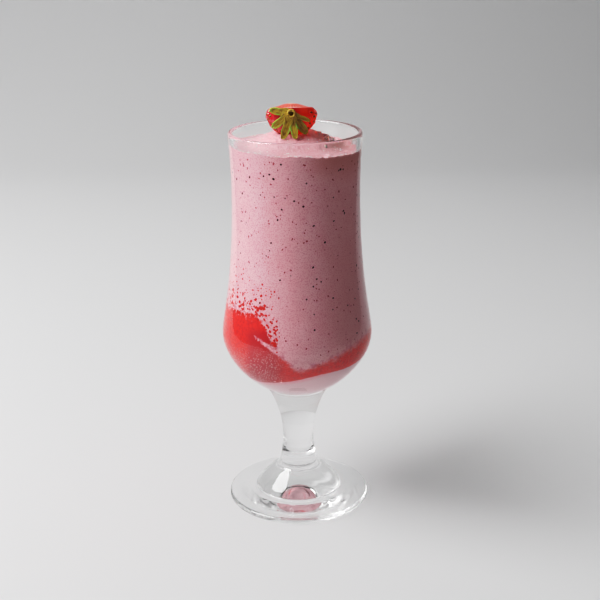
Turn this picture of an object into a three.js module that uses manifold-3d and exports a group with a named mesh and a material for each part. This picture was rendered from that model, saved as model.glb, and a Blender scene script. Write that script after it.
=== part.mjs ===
// A strawberry smoothie in a footed tulip glass: pressed glass, two pink pours of smoothie with a slanted
// layer of strawberry puree between them, and half a strawberry with its leaf cap resting on the foam.
// Millimetres, +Z up. The glass stands on Z = 0 with its axis on Z, and -Y is the side with the leaf cap.
import * as THREE from "three";
import { mergeVertices } from "three/addons/utils/BufferGeometryUtils.js";
import Module from "manifold-3d";

const wasm = await Module();
wasm.setup();

// Facets and fits
const FACETS = 44; // round the glass and what fills it
const BERRY_FACETS = 28; // round the berry
const STUB_FACETS = 16; // round the stub of the stalk
const CURVE_STEPS = 24; // points along each curve of an outline, before it is thinned
const OUTLINE_TOLERANCE = 0.14; // how far a thinned outline may lie from its curve
const GAP = 0.3; // clearance between neighbouring pieces

// Foot of the glass: a disc with a rounded edge, standing on a flat ring round a shallow hollow
const FOOT = { radius: 35, edge: 1.5, ringInner: 18, hollow: 3.8, hollowReach: 6.3 };
const FOOT_EDGE_END = Math.PI * 0.4; // direction, seen from the edge's centre, where its rounding ends
const FOOT_SLOPE = { radius: 25.5, height: 5.2 }; // the foot's top leans towards here

// Outside of the glass above the foot. Each place holds the handles of the curves that meet there, as steps
// in radius and height.
const BELL_EDGE = { radius: 21.4, height: 5.4, after: [-1.4, 2.9] };
const BELL_SHOULDER = { radius: 14.1, height: 13.8, before: [2.7, -2.7], after: [-1.1, 1.1] };
const BELL_TOP = { radius: 10.9, height: 16.4, before: [1.3, -0.95], after: [-1.2, 0.85] };
const COLLAR = { radius: 8.4, height: 21.5, before: [0.5, -3], after: [-0.35, 2.4] };
const STEM = { radius: 7.66, height: 32, before: [0, -6], after: [0, 11] };
const CREASE = { radius: 15, height: 59.6, before: [-3.8, -8], after: [9.6, 4.8] };
const BULGE = { radius: 36.4, height: 88, before: [0, -11], after: [0, 8] };
const WAIST = { radius: 30.25, height: 160, before: [0, -45], after: [0, 8] };
const BEAD_RADIUS = 1.3; // the fire-polished rim is a half round
const GLASS_HEIGHT = 186;
const RIM = { radius: 31.2, height: GLASS_HEIGHT - BEAD_RADIUS, before: [-0.5, -7] };

// Inside of the glass, from the rim down
const WALL = { waist: 2.5, bulge: 3 }; // its thickness
const MOUTH = { radius: RIM.radius - 2 * BEAD_RADIUS, height: RIM.height, after: [-0.45, -7] };
const NECK = { radius: WAIST.radius - WALL.waist, height: WAIST.height, before: [0, 8], after: [0, -45] };
const BELLY = { radius: BULGE.radius - WALL.bulge, height: 89, before: [0, 8], after: [0, -12.5] };
const CAVITY_FLOOR = { radius: 0, height: 65.2, before: [22, 0] };

// Smoothie: the surface at the wall, and the mound of foam under the berry
const LEVEL = 180.6;
const MOUND = { height: 6.6, top: 4.5, foot: 18 }; // its height, and the radii where its slope runs
const SWELL = { height: 0.35, alongX: 4, alongY: 5, shift: 1 }; // unevenness of the surface
const FOAM_RINGS = 11;

// Puree: a tilted layer that climbs the wall on one side
const LAYER = { height: 76.5, riseX: 8.8, riseY: 2.2, thickness: 4.4 }; // its underside, and its depth
const CLIMB = { height: 31.5, azimuth: -155, plateau: 25, halfWidth: 70 }; // angles in degrees
const CLIMB_POWER = 4; // higher keeps the climb closer to the wall
const LAYER_RADIUS = 31; // wall radius that the rises are measured at
const LAYER_RINGS = 7;
const FLAT_RINGS = 2;

// Half strawberry, cut face up, stalk end towards -Y
const BERRY = { radius: 12.1, shoulder: 6.4, tip: 19.5, widestY: -5, x: -1.6, axisZ: 196, cutZ: 197.4 };
const BERRY_STEPS = 14;
const TIP_FULLNESS = 1.9; // above 1 the berry tapers to its tip faster than an ellipse
const SEEDS = { turns: 84, goldenAngle: 137.508, length: 1.5, width: 1, depth: 0.8, first: 0.2, last: 0.93 };

// Leaf cap: sepals laid over the berry's shoulder round the stub of the stalk
const SEPAL_ANGLES = [172, 222, 254, 285, 313, 346]; // degrees round the stub, seen from its end
const SEPAL_REACH = [62, 66, 84, 82, 76, 60]; // degrees that each runs over the shoulder
const SEPAL = { root: 6, halfWidth: 2, endShare: 0.3, thickness: 0.7, clearance: 0.45, curl: 1.3 };
const SEPAL_WAVE = 0.25; // half of what a sepal's midrib stands out by
const SEPAL_CELLS = { along: 6, across: 2 };
const LEAF_SHADE = 95; // degrees from the stalk that the leaves keep the foam away
const STUB = { radius: 2.1, neckRadius: 1.9, neck: 1.05, lipRadius: 1.5, length: 1.5 };
const PIT = { radius: 0.9, floorRadius: 0.63, depth: 0.8 }; // in the end of the stub

const berryPlacement = new THREE.Matrix4().makeTranslation(BERRY.x, 0, BERRY.axisZ);
const rad = THREE.MathUtils.degToRad;
const deg = THREE.MathUtils.radToDeg;
const smooth = (t) => THREE.MathUtils.smoothstep(t, 0, 1);

// A geometry as a solid for cutting and joining: only positions, shared vertices, no empty triangles.
function solidOf(geometry) {
  const bare = new THREE.BufferGeometry().setAttribute("position", geometry.getAttribute("position"));
  if (geometry.index) bare.setIndex(geometry.index);
  const merged = mergeVertices(bare, 1e-4);
  const corners = merged.index.array;
  const kept = [];
  for (let i = 0; i < corners.length; i += 3) {
    const [a, b, c] = corners.slice(i, i + 3);
    if (a !== b && b !== c && c !== a) kept.push(a, b, c);
  }
  const vertProperties = new Float32Array(merged.getAttribute("position").array);
  return new wasm.Manifold(new wasm.Mesh({ numProp: 3, vertProperties, triVerts: new Uint32Array(kept) }));
}

// A cut solid as a geometry again.
function geometryOf(solid) {
  const mesh = solid.getMesh();
  const geometry = new THREE.BufferGeometry();
  geometry.setAttribute("position", new THREE.BufferAttribute(mesh.vertProperties, 3));
  geometry.setIndex(new THREE.BufferAttribute(mesh.triVerts, 1));
  geometry.computeVertexNormals();
  return geometry;
}

// The fewest of these points that still follow their curve within the tolerance.
function thinned(points) {
  const first = points[0];
  const last = points[points.length - 1];
  const chord = new THREE.Vector2().subVectors(last, first);
  let furthest = 0;
  let widest = OUTLINE_TOLERANCE;
  for (let i = 1; i < points.length - 1; i++) {
    const offset = new THREE.Vector2().subVectors(points[i], first);
    const distance = Math.abs(chord.cross(offset)) / Math.max(chord.length(), OUTLINE_TOLERANCE);
    if (distance > widest) {
      widest = distance;
      furthest = i;
    }
  }
  if (!furthest) return [first, last];
  return [...thinned(points.slice(0, furthest + 1)).slice(0, -1), ...thinned(points.slice(furthest))];
}

// An outline of radius and height turned round the Z axis.
function turned(outline) {
  return new THREE.LatheGeometry(outline, FACETS).rotateX(Math.PI / 2);
}

// Runs a path on through the places of an outline, by the handles that each holds.
function curveThrough(path, places) {
  for (let i = 1; i < places.length; i++) {
    const from = places[i - 1];
    const to = places[i];
    path.bezierCurveTo(
      from.radius + from.after[0], from.height + from.after[1],
      to.radius + to.before[0], to.height + to.before[1],
      to.radius, to.height,
    );
  }
}

// The foot, from the middle of its underside round its edge to the bell at the stem's root.
function traceFoot(path) {
  const edgeCentre = FOOT.radius - FOOT.edge;
  path.moveTo(0, FOOT.hollow);
  path.quadraticCurveTo(FOOT.hollowReach, FOOT.hollow, FOOT.ringInner, 0);
  path.lineTo(edgeCentre, 0);
  path.absarc(edgeCentre, FOOT.edge, FOOT.edge, -Math.PI / 2, FOOT_EDGE_END, false);
  path.quadraticCurveTo(FOOT_SLOPE.radius, FOOT_SLOPE.height, BELL_EDGE.radius, BELL_EDGE.height);
}

// The cavity from the rim's half round down to the middle of its floor, drawn inset.
function traceCavity(path, inset) {
  const wall = [MOUTH, NECK, BELLY].map((place) => ({ ...place, radius: place.radius - inset }));
  path.lineTo(wall[0].radius, wall[0].height);
  curveThrough(path, [...wall, { ...CAVITY_FLOOR, height: CAVITY_FLOOR.height + inset }]);
}

function makeGlass() {
  const outline = new THREE.Path();
  traceFoot(outline);
  const stem = [BELL_EDGE, BELL_SHOULDER, BELL_TOP, COLLAR, STEM];
  curveThrough(outline, [...stem, CREASE, BULGE, WAIST, RIM]);
  outline.absarc(RIM.radius - BEAD_RADIUS, RIM.height, BEAD_RADIUS, 0, Math.PI, false);
  traceCavity(outline, 0);
  return turned(thinned(outline.getPoints(CURVE_STEPS)));
}

// Everything inside the cavity up to the rim, a gap clear of the wall.
function cavityFill() {
  const outline = new THREE.Path();
  outline.moveTo(0, RIM.height);
  traceCavity(outline, GAP);
  const upwards = thinned(outline.getPoints(CURVE_STEPS)).reverse();
  return solidOf(turned(upwards)).add(solidOf(fillHeadroom()));
}

// A short drum on top of the cavity fill, so that the mound can rise above the rim.
function fillHeadroom() {
  const radius = MOUND.foot + 2;
  const height = 2 * MOUND.height;
  const drum = new THREE.CylinderGeometry(radius, radius, height, FACETS);
  return drum.rotateX(Math.PI / 2).translate(0, 0, RIM.height);
}

// The solid under a surface height(x, y), reaching past the wall and below the cavity.
function solidUnder(height, rings) {
  const reach = BULGE.radius + 2;
  const bottom = CAVITY_FLOOR.height - 6;
  const outline = [new THREE.Vector2(0, bottom), new THREE.Vector2(reach, bottom)];
  for (let ring = rings; ring >= 0; ring--) {
    outline.push(new THREE.Vector2((reach * ring) / rings, bottom + 1));
  }
  const geometry = turned(outline);
  const position = geometry.getAttribute("position");
  for (let i = 0; i < position.count; i++) {
    if (position.getZ(i) < bottom + 0.5) continue;
    position.setZ(i, height(position.getX(i), position.getY(i)));
  }
  return solidOf(geometry);
}

// Height of the foam: flat near the wall, a mound in the middle, with slow swells.
function foamHeight(x, y) {
  const slope = (MOUND.foot - Math.hypot(x, y)) / (MOUND.foot - MOUND.top);
  const swell = SWELL.height * Math.sin(x / SWELL.alongX + SWELL.shift) * Math.cos(y / SWELL.alongY);
  return LEVEL + MOUND.height * smooth(slope) + swell;
}

// Height of the underside of the puree.
function layerUnderside(x, y) {
  return LAYER.height + (LAYER.riseX * x + LAYER.riseY * y) / LAYER_RADIUS;
}

// Height of the top of the puree, which climbs the wall round one azimuth.
function layerTop(x, y) {
  const turn = deg(Math.atan2(y, x)) - CLIMB.azimuth;
  const away = Math.abs(THREE.MathUtils.euclideanModulo(turn + 180, 360) - 180);
  const share = smooth((CLIMB.halfWidth - away) / (CLIMB.halfWidth - CLIMB.plateau));
  const outwards = Math.min(1, Math.hypot(x, y) / LAYER_RADIUS) ** CLIMB_POWER;
  return layerUnderside(x, y) + LAYER.thickness + CLIMB.height * share * outwards;
}

// A surface function raised or lowered.
const shifted = (height, by) => (x, y) => height(x, y) + by;

// The berry's outline, grown: 0 degrees is the stalk, 90 the widest place and 180 the tip.
function berryPoint(angle, grow) {
  const turn = rad(angle);
  const towardsStalk = angle < 90;
  const along = towardsStalk ? -BERRY.shoulder - grow : BERRY.tip + grow;
  const radius = (BERRY.radius + grow) * Math.sin(turn) ** (towardsStalk ? 1 : TIP_FULLNESS);
  return { radius, y: BERRY.widestY + along * Math.abs(Math.cos(turn)) };
}

// A solid of revolution on the berry's own axis, which lies along Y.
function turnedOnBerryAxis(outline, facets) {
  return new THREE.LatheGeometry(outline, facets).applyMatrix4(berryPlacement);
}

// The whole berry, grown by an amount that may differ along it.
function berryForm(growAt) {
  const outline = [];
  for (let step = 0; step <= BERRY_STEPS; step++) {
    const angle = (180 * step) / BERRY_STEPS;
    const { radius, y } = berryPoint(angle, growAt(angle));
    outline.push(new THREE.Vector2(step % BERRY_STEPS === 0 ? 0 : radius, y));
  }
  return solidOf(turnedOnBerryAxis(outline, BERRY_FACETS));
}

// Everything above the knife's cut, for taking it off.
function aboveCut() {
  const size = 4 * BERRY.tip;
  return solidOf(new THREE.BoxGeometry(size, size, size).translate(0, 0, BERRY.cutZ + size / 2));
}

// One seed half sunk in the berry's skin, lying along the berry.
function seedAt(index) {
  const share = SEEDS.first + ((SEEDS.last - SEEDS.first) * (index + 0.5)) / SEEDS.turns;
  const angle = deg(Math.acos(1 - 2 * share));
  const { radius, y } = berryPoint(angle, 0);
  return new THREE.IcosahedronGeometry(0.5, 0)
    .scale(SEEDS.width, SEEDS.length, SEEDS.depth)
    .rotateX(rad(90 - angle))
    .translate(0, y, radius)
    .rotateY(rad(SEEDS.goldenAngle * index))
    .applyMatrix4(berryPlacement);
}

function makeBerry() {
  let berry = berryForm(() => 0);
  for (let index = 0; index < SEEDS.turns; index++) {
    const seed = seedAt(index);
    seed.computeBoundingBox();
    if (seed.boundingBox.max.z < BERRY.cutZ - GAP) berry = berry.add(solidOf(seed));
  }
  return geometryOf(berry.subtract(aboveCut()));
}

// Half the width of a sepal, from its root at 0 to its tip at 1: widest just short of its middle, blunt ends.
function sepalHalfWidth(t) {
  const swelling = Math.sin(Math.PI * t ** 0.75) ** 0.7;
  return SEPAL.halfWidth * (SEPAL.endShare + (1 - SEPAL.endShare) * swelling);
}

// One side of a sepal as rows of points: it follows the shoulder, is waved across and curls up at its tip.
function sepalSide(direction, reach, lift) {
  const points = [];
  for (let i = 0; i <= SEPAL_CELLS.along; i++) {
    const t = i / SEPAL_CELLS.along;
    const { radius, y } = berryPoint(SEPAL.root + (reach - SEPAL.root) * t, lift + SEPAL.curl * t ** 3);
    const half = sepalHalfWidth(t);
    for (let j = 0; j <= SEPAL_CELLS.across; j++) {
      const sideways = (2 * j) / SEPAL_CELLS.across - 1;
      const turn = rad(direction) + (half * sideways) / Math.max(radius, half + SEPAL.clearance);
      const wave = SEPAL_WAVE * (Math.cos(Math.PI * sideways) + 1);
      points.push(radius * Math.cos(turn), y - wave, radius * Math.sin(turn));
    }
  }
  return points;
}

// The triangles of a thin sheet with two sides of rows by columns, both sides split alike.
function sheetTriangles(along, across) {
  const triangles = [];
  const row = across + 1;
  const side = row * (along + 1);
  const quad = (a, b, c, d) => triangles.push(a, b, c, a, c, d);
  for (let i = 0; i < along; i++) {
    for (let j = 0; j < across; j++) {
      const a = i * row + j;
      quad(a, a + 1, a + row + 1, a + row);
      quad(side + a, side + a + row, side + a + row + 1, side + a + 1);
    }
    const left = i * row;
    const right = left + across;
    quad(left, left + row, side + left + row, side + left);
    quad(right + row, right, side + right, side + right + row);
  }
  for (let j = 0; j < across; j++) {
    const end = along * row + j;
    quad(j + 1, j, side + j, side + j + 1);
    quad(end, end + 1, side + end + 1, side + end);
  }
  return triangles;
}

function sepal(direction, reach) {
  const under = sepalSide(direction, reach, SEPAL.clearance);
  const over = sepalSide(direction, reach, SEPAL.clearance + SEPAL.thickness);
  const geometry = new THREE.BufferGeometry();
  geometry.setAttribute("position", new THREE.Float32BufferAttribute([...under, ...over], 3));
  geometry.setIndex(sheetTriangles(SEPAL_CELLS.along, SEPAL_CELLS.across));
  return solidOf(geometry.applyMatrix4(berryPlacement));
}

// The stub of the stalk, with the pit where the stalk was pulled out.
function stub() {
  const root = berryPoint(0, SEPAL.clearance).y;
  const end = root - STUB.length;
  const outline = [
    new THREE.Vector2(0, end + PIT.depth),
    new THREE.Vector2(PIT.floorRadius, end + PIT.depth),
    new THREE.Vector2(PIT.radius, end),
    new THREE.Vector2(STUB.lipRadius, end),
    new THREE.Vector2(STUB.neckRadius, root - STUB.neck),
    new THREE.Vector2(STUB.radius, root),
    new THREE.Vector2(0, root),
  ];
  return solidOf(turnedOnBerryAxis(outline, STUB_FACETS));
}

function makeLeafCap() {
  let cap = stub();
  SEPAL_ANGLES.forEach((direction, i) => {
    cap = cap.add(sepal(direction, SEPAL_REACH[i]));
  });
  return geometryOf(cap.subtract(aboveCut()));
}

// The hollow that the berry and its leaves press into the foam.
function berryDish() {
  const roomForLeaves = SEPAL.clearance + SEPAL.thickness + SEPAL.curl + 2 * GAP;
  return berryForm((angle) => (angle < LEAF_SHADE ? roomForLeaves : SEEDS.depth));
}

// The two pours of smoothie and the puree between them, each half a gap from the next.
function makeDrink() {
  const fill = cavityFill();
  const half = GAP / 2;
  const body = fill
    .intersect(solidUnder(foamHeight, FOAM_RINGS))
    .subtract(solidUnder(shifted(layerTop, half), LAYER_RINGS))
    .subtract(berryDish());
  const puree = fill
    .intersect(solidUnder(shifted(layerTop, -half), LAYER_RINGS))
    .subtract(solidUnder(shifted(layerUnderside, half), FLAT_RINGS));
  const heel = fill.intersect(solidUnder(shifted(layerUnderside, -half), FLAT_RINGS));
  return { body, puree, heel };
}

function node(name, geometry, colour, roughness) {
  const material = new THREE.MeshStandardMaterial({ color: colour, roughness, metalness: 0 });
  const mesh = new THREE.Mesh(geometry, material);
  mesh.name = name;
  return mesh;
}

const drink = makeDrink();
const smoothie = new THREE.Group();
smoothie.add(
  node("glass", makeGlass(), 0xe4e8ea, 0.03),
  node("smoothie", geometryOf(drink.body), 0xcf9aa5, 0.45),
  node("puree", geometryOf(drink.puree), 0xc8241f, 0.3),
  node("smoothie_heel", geometryOf(drink.heel), 0xcda3aa, 0.45),
  node("strawberry", makeBerry(), 0xc4141f, 0.35),
  node("leaf_cap", makeLeafCap(), 0x8a7d22, 0.6),
);

export default smoothie;
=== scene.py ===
"""A strawberry smoothie in a clear footed tulip glass, with half a strawberry on its foam.

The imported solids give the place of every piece. The glass, the three layers of the drink, the fruit and
its leaf cap are made again here in finer form, and the seeds, flecks, drops and bubbles are added.
"""

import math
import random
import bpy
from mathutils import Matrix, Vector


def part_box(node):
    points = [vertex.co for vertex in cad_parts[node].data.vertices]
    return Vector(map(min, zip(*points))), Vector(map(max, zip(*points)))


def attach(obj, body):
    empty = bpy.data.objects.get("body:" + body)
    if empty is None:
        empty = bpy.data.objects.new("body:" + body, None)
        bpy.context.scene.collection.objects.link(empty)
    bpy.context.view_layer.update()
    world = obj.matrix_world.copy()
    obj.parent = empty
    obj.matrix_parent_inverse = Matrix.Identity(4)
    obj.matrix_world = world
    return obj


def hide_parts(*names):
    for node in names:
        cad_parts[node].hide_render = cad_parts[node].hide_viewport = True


bl_info = {
    "name": "Strawberry smoothie",
    "version": (1, 0, 0),
    "blender": (4, 5, 0),
    "location": "View3D > Sidebar > Smoothie",
    "description": "Makes a layered strawberry smoothie with its footed glass and garnish",
    "category": "Object",
}

from collections import namedtuple

import bmesh
import bpy
import numpy
from bpy.props import FloatProperty, FloatVectorProperty, IntProperty, PointerProperty
from mathutils import Matrix, Vector, noise
from mathutils.geometry import interpolate_bezier
from mathutils.kdtree import KDTree

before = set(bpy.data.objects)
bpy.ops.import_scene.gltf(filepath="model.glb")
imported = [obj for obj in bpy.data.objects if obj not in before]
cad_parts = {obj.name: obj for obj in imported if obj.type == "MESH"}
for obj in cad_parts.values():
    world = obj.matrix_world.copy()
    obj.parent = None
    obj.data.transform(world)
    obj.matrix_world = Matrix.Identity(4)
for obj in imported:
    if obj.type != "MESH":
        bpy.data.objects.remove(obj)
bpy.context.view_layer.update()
GLASS_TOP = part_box("glass")[1]

MM = 0.001
BODY = "root"

AXIS_Y = Vector((0, 1, 0))
AXIS_Z = Vector((0, 0, 1))
ORIGIN = Vector((0, 0, 0))

GLASS_SEGMENTS = 168
CURVE_STEPS = 16
ARC_STEPS = 10
DRINK_SEGMENTS = 192
BERRY_SEGMENTS = 144
BERRY_STEPS = 84
STUB_SEGMENTS = 32

# How quickly the berry narrows towards its tip: 1 is an ellipse, and more is more pointed.
TIP_POWER = 1.9

# How far the drink reaches into the wall, so that no air shows between the two.
BITE = 0.08 * MM

# Width at each side of the standing ring that takes up the turn of the shading, so the rest looks flat.
RING_MARGIN = 0.6 * MM

# Points that are nearer than this are one point, and shares of a unit drum nearer than this are at its end.
TOUCH = 1e-7
LID = 0.999

# Seeds of the whole berry in a spiral, with the turn from one to the next and the span that they cover.
BERRY_SEEDS = 130
GOLDEN_ANGLE = 137.508
SEED_SPAN = (0.2, 0.95)


def length(name, millimetres, description):
    """A length that is given in millimetres and kept in metres."""
    return FloatProperty(
        name=name,
        description=description,
        default=millimetres * MM,
        min=0.0,
        subtype="DISTANCE",
        unit="LENGTH",
    )


def colour(name, red_green_blue, description):
    """A colour in linear light."""
    return FloatVectorProperty(
        name=name,
        description=description,
        default=red_green_blue,
        size=3,
        min=0.0,
        max=1.0,
        subtype="COLOR",
    )


class GlassSizes(bpy.types.PropertyGroup):
    """Sizes and tint of the footed glass."""

    height: length("Height", GLASS_TOP.z / MM, "Height of the rim above the table")
    foot_radius: length("Foot radius", 35, "Radius of the round foot")
    foot_edge: length("Foot edge", 1.5, "Radius of the rounded edge of the foot")
    slope_radius: length("Slope radius", 29.4, "Radius half-way up the slope of the foot's plate")
    slope_height: length("Slope height", 3.75, "Height half-way up the slope of the foot's plate")
    plate_radius: length("Plate radius", 24.6, "Radius where the plate's slope ends")
    plate_height: length("Plate height", 5.1, "Height of the plate where its slope ends")
    bell_radius: length("Bell radius", 20.8, "Radius of the bell just above the plate")
    bell_height: length("Bell height", 6.2, "Height of the bell's lower edge")
    shoulder_radius: length("Shoulder radius", 14.1, "Radius of the bell at its shoulder")
    shoulder_height: length("Shoulder height", 13.8, "Height of the bell's shoulder")
    bell_top_radius: length("Bell top radius", 10.9, "Radius at the top of the bell")
    bell_top_height: length("Bell top height", 16.4, "Height of the top of the bell")
    collar_radius: length("Collar radius", 8.4, "Radius of the stem just above the bell")
    collar_height: length("Collar height", 23.5, "Height where the bell has run into the stem")
    hollow_radius: length("Hollow radius", 18, "Radius of the hollow under the foot")
    foot_hollow: length("Foot hollow", 3.8, "Height of the hollow under the foot")
    stem_radius: length("Stem radius", 7.66, "Radius of the stem where it is thinnest")
    stem_height: length("Stem height", 32, "Height where the stem is thinnest")
    crease_radius: length("Crease radius", 15, "Radius where the stem meets the bowl")
    crease_height: length("Crease height", 59.6, "Height where the stem meets the bowl")
    crease_ridge: length("Crease ridge", 0.8, "Radius of the fine ridge round the crease")
    bulge_radius: length("Bulge radius", GLASS_TOP.x / MM, "Radius of the bowl where it is widest")
    bulge_height: length("Bulge height", 88, "Height of the widest part of the bowl")
    waist_radius: length("Waist radius", 30.25, "Radius of the bowl where it is narrowest")
    waist_height: length("Waist height", 160, "Height of the narrowest part of the bowl")
    rim_radius: length("Rim radius", 31.2, "Outer radius of the rim")
    bead: length("Rim bead", 1.05, "Radius of the rounded rim")
    wall: length("Wall", 2.5, "Thickness of the wall at the waist")
    belly_wall: length("Belly wall", 3, "Thickness of the wall at the bulge")
    belly_height: length("Belly height", 89, "Height of the widest part of the bowl's inside")
    floor: length("Bowl floor", 65.2, "Height of the bowl's floor above the table")
    tint: colour("Shadow tint", (0.96, 0.965, 0.965), "Light that one face of the glass lets through")


class DrinkSizes(bpy.types.PropertyGroup):
    """Sizes and colours of the smoothie, its puree and its foam."""

    level: length("Level", 180.6, "Height of the drink at the left wall")
    level_fall: length("Level fall", 2.4, "How much lower the drink stands at the right wall")
    mound: length("Foam mound", 7, "Rise of the foam in the middle")
    mound_top: length("Mound top", 5.5, "Radius of the mound's flat top")
    mound_foot: length("Mound foot", 25, "Radius where the mound ends")
    layer_height: length("Puree height", 76.5, "Height of the puree's underside on the axis")
    layer_rise_x: length("Puree rise to the right", 8.8, "Rise of the layer from the axis to the right")
    layer_rise_y: length("Puree rise to the back", 2.2, "Rise of the layer from the axis to the back")
    layer_thickness: length("Puree thickness", 4.4, "Thickness of the puree away from its climb")
    layer_radius: length("Layer radius", 31, "Radius at which the two rises are measured")
    climb: length("Puree climb", 31.5, "How far the puree climbs the wall on one side")
    pink: colour("Smoothie", (0.81, 0.45, 0.49), "Colour of the smoothie")
    pink_deep: colour("Smoothie shade", (0.79, 0.41, 0.45), "Deeper patches of the smoothie")
    # Painted shade: a warmer, redder pink that the smoothie takes on towards its shaded right side.
    pink_shaded_side: colour("Smoothie on the right", (0.75, 0.35, 0.35), "Warmer smoothie on the shaded side")
    heel: colour("Heel", (0.75, 0.5, 0.53), "Paler smoothie under the puree")
    red: colour("Puree", (0.79, 0.026, 0.02), "Colour of the puree")
    # Deeper pulp patches of the puree, also used for its painted shade inward of the climb.
    red_deep_and_shade: colour("Puree shade", (0.46, 0.014, 0.024), "Deeper patches of the puree")
    blush: colour("Blush", (0.62, 0.2, 0.25), "Where puree and smoothie run into each other")
    # Juice under the foam; on the right side and beside the berry it is also painted red-brown shade.
    juice_and_shade: colour("Juice", (0.6, 0.22, 0.2), "Juice that gathers under the foam")
    # Middle of the patch of juice and painted shadow beside the berry.
    pool: FloatVectorProperty(
        name="Juice pool",
        description="Place of the juice that shows beside the berry",
        default=(14 * MM, -1 * MM, 183 * MM),
        subtype="XYZ",
        unit="LENGTH",
    )
    foam: colour("Foam", (0.95, 0.86, 0.85), "Colour of the foam's bubbles")
    seed: colour("Seed speck", (0.035, 0.006, 0.008), "Colour of the crushed seeds")
    fleck: colour("Pulp fleck", (0.42, 0.035, 0.06), "Colour of the flecks of pulp")
    seeds: IntProperty(name="Seed specks", description="Crushed seeds at the wall", default=150, min=0)
    flecks: IntProperty(name="Pulp flecks", description="Flecks of pulp at the wall", default=620, min=0)
    drops: IntProperty(name="Pulp drops", description="Drops of puree above the climb", default=380, min=0)


class BerrySizes(bpy.types.PropertyGroup):
    """Sizes and colours of the half strawberry and its leaf cap."""

    radius: length("Radius", 12.1, "Radius of the berry where it is widest")
    shoulder: length("Shoulder", 6.4, "From the widest place to the stalk end")
    tip: length("Tip", 19.5, "From the widest place to the tip")
    widest: FloatProperty(
        name="Widest place",
        description="Place of the widest part along the axis",
        default=-5 * MM,
        subtype="DISTANCE",
        unit="LENGTH",
    )
    sideways: FloatProperty(
        name="Sideways",
        description="Place of the berry across the glass",
        default=-1.6 * MM,
        subtype="DISTANCE",
        unit="LENGTH",
    )
    axis_height: length("Axis height", 196, "Height of the berry's axis")
    cut_height: length("Cut height", 197.5, "Height of the cut face above the stalk end")
    cut_lean: FloatProperty(
        name="Cut lean",
        description="How far the cut face leans towards the tip",
        default=math.radians(7.5),
        subtype="ANGLE",
        unit="ROTATION",
    )
    core_rise: length("Core rise", 1.9, "How far the core stands up out of the cut face")
    shoulder_depth: length("Shoulder depth", 3.8, "How far below the cut the skin begins to draw in")
    shoulder_inset: length("Shoulder inset", 2.6, "How far the skin has drawn in at the cut")
    seed_length: length("Seed length", 1.5, "Length of a seed on the skin")
    skin: colour("Skin", (0.56, 0.004, 0.018), "Colour of the ripe skin")
    # Paler skin near the stalk, which on the right shoulder is painted light coming through the fruit.
    skin_pale_and_glow: colour("Pale skin", (0.95, 0.085, 0.03), "Colour of the skin at the shoulder")
    skin_lit: colour("Lit skin", (1.0, 0.09, 0.03), "Colour of the skin that is lit from inside the fruit")
    glow: colour("Glow", (0.7, 0.27, 0.2), "Light that one face of the fruit lets through")
    flesh: colour("Flesh", (0.78, 0.065, 0.035), "Colour of the cut flesh")
    core: colour("Core", (0.92, 0.7, 0.62), "Colour of the core and its veins")
    achene: colour("Seed", (0.42, 0.22, 0.05), "Colour of the seeds on the skin")
    leaf: colour("Leaf", (0.5, 0.38, 0.045), "Colour of the sepals")
    leaf_edge: colour("Leaf edge", (0.4, 0.72, 0.12), "Colour of the sepals' edges")
    stalk: colour("Stalk", (0.66, 0.46, 0.08), "Colour of the stalk's stub")


class StageSizes(bpy.types.PropertyGroup):
    """Light and floor of the studio."""

    floor: colour("Floor", (0.72, 0.72, 0.725), "Colour of the pale floor and backdrop")
    lamp_power: FloatProperty(
        name="Lamp power",
        description="Power of the large soft lamp",
        default=24.5,
        min=0.0,
        unit="POWER",
    )
    lamp_size: length("Lamp size", 1200, "Diameter of the large soft lamp")
    room: colour("Room", (0.055, 0.055, 0.055), "Dim light from the room in front")
    back_room: colour("Back of the room", (0.2, 0.2, 0.2), "Light from the room behind the backdrop")


Place = namedtuple("Place", "at before after")


def place(radius, height, before=(0, 0), after=(0, 0)):
    """A place on an outline, with the steps to its curve handles in millimetres."""
    at = Vector((radius, 0, height))
    into = at + MM * Vector((before[0], 0, before[1]))
    out = at + MM * Vector((after[0], 0, after[1]))
    return Place(at, into, out)


def curve_through(places, steps=CURVE_STEPS):
    """Points of the smooth outline through a row of places."""
    points = [places[0].at]
    for near, far in zip(places, places[1:]):
        points += interpolate_bezier(near.at, near.after, far.before, far.at, steps + 1)[1:]
    return points


def arc(radius, height, size, start, end, steps=ARC_STEPS):
    """Points of a round edge about a centre, between two angles in degrees."""
    points = []
    for step in range(steps + 1):
        angle = math.radians(start + (end - start) * step / steps)
        points.append(Vector((radius + size * math.cos(angle), 0, height + size * math.sin(angle))))
    return points


def smoothstep(share):
    """Soft rise from 0 to 1."""
    share = max(0.0, min(1.0, share))
    return share * share * (3 - 2 * share)


def spin_outline(bm, points, axis, segments):
    """Turns an open outline about an axis through the origin and closes its seam and poles."""
    verts = [bm.verts.new(point) for point in points]
    edges = [bm.edges.new(pair) for pair in zip(verts, verts[1:])]
    bmesh.ops.spin(
        bm,
        geom=verts + edges,
        cent=ORIGIN,
        axis=axis,
        angle=math.tau,
        steps=segments,
        use_merge=True,
    )
    bmesh.ops.remove_doubles(bm, verts=bm.verts, dist=TOUCH)
    bmesh.ops.recalc_face_normals(bm, faces=bm.faces)


def keep_crisp(bm, angle=50):
    """Keeps the shading crisp along edges that turn by more than an angle in degrees."""
    for edge in bm.edges:
        if len(edge.link_faces) == 2 and edge.calc_face_angle() > math.radians(angle):
            edge.smooth = False


def set_piece(bm, name, finishes, nodes=()):
    """Makes an object of a mesh, lets it ride on the glass and stand for its solids."""
    keep_crisp(bm)
    mesh = bpy.data.meshes.new(name)
    bm.to_mesh(mesh)
    bm.free()
    mesh.shade_smooth()
    for finish in finishes:
        mesh.materials.append(finish)
    piece = bpy.data.objects.new(name, mesh)
    bpy.context.scene.collection.objects.link(piece)
    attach(piece, BODY)
    if nodes:
        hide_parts(*nodes)
    return piece


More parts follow.
